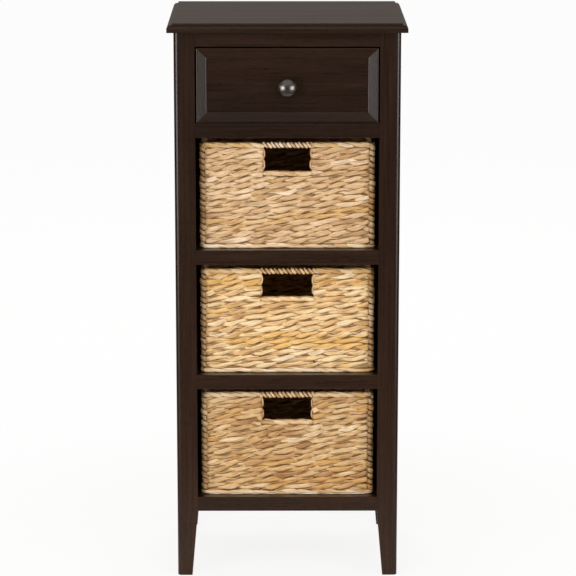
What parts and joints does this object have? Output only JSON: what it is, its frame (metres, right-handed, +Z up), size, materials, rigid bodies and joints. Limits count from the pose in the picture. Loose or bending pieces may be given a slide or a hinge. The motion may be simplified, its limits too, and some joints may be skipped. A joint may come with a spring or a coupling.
{
  "type": "storage tower",
  "caption": "Narrow stained wood storage tower on tapered legs, with a framed drawer above open bays that hold pull-out woven baskets.",
  "frame": {"origin": "on the floor, in the middle of the width and of the depth from the knob's tip to the board's back edge", "axes": "+X to the right as seen from the front, +Y to the back, +Z up; the drawer and the baskets pull out towards -Y"},
  "size_m": [0.4, 0.3376, 0.957],
  "materials": {
    "stained_wood": "espresso stain under satin lacquer",
    "inner_wood": "plain sanded wood",
    "hyacinth": "natural dried plant fibre, twined",
    "wire": "dark painted square bar",
    "pewter": "satin pewter plating",
    "screw_steel": "zinc plated"
  },
  "bodies": {
    "carcass": {"back_panel": "stained_wood", "bottom_rail": "stained_wood", "drawer_left_runner": "stained_wood", "drawer_rail": "stained_wood", "drawer_right_runner": "stained_wood", "front_left_leg": "stained_wood", "front_right_leg": "stained_wood", "left_kicker": "stained_wood", "left_side_panel": "stained_wood", "lower_left_runner": "stained_wood", "lower_rail": "stained_wood", "lower_right_runner": "stained_wood", "middle_left_runner": "stained_wood", "middle_right_runner": "stained_wood", "rear_bottom_rail": "stained_wood", "rear_left_leg": "stained_wood", "rear_right_leg": "stained_wood", "rear_top_rail": "stained_wood", "right_kicker": "stained_wood", "right_side_panel": "stained_wood", "top_board": "stained_wood", "top_rail": "stained_wood", "upper_left_runner": "stained_wood", "upper_rail": "stained_wood", "upper_right_runner": "stained_wood"},
    "drawer": {"drawer_back": "inner_wood", "drawer_bottom": "inner_wood", "drawer_bottom_moulding": "stained_wood", "drawer_box_front": "inner_wood", "drawer_front_panel": "stained_wood", "drawer_left_moulding": "stained_wood", "drawer_left_side": "inner_wood", "drawer_right_moulding": "stained_wood", "drawer_right_side": "inner_wood", "drawer_top_moulding": "stained_wood", "knob": "pewter", "knob_screw": "screw_steel"},
    "upper_basket": {"upper_basket_frame": "wire", "upper_basket_grip": "hyacinth", "upper_basket_rim": "hyacinth", "upper_basket_weave": "hyacinth"},
    "middle_basket": {"middle_basket_frame": "wire", "middle_basket_grip": "hyacinth", "middle_basket_rim": "hyacinth", "middle_basket_weave": "hyacinth"},
    "lower_basket": {"lower_basket_frame": "wire", "lower_basket_grip": "hyacinth", "lower_basket_rim": "hyacinth", "lower_basket_weave": "hyacinth"}
  },
  "joints": [
    {"name": "drawer_slide", "type": "slide", "parent": "carcass", "child": "drawer", "axis": [0, -1, 0], "range_m": [0, 0.21]},
    {"name": "upper_basket_slide", "type": "slide", "parent": "carcass", "child": "upper_basket", "axis": [0, -1, 0], "range_m": [0, 0.24]},
    {"name": "middle_basket_slide", "type": "slide", "parent": "carcass", "child": "middle_basket", "axis": [0, -1, 0], "range_m": [0, 0.24]},
    {"name": "lower_basket_slide", "type": "slide", "parent": "carcass", "child": "lower_basket", "axis": [0, -1, 0], "range_m": [0, 0.24]}
  ]
}
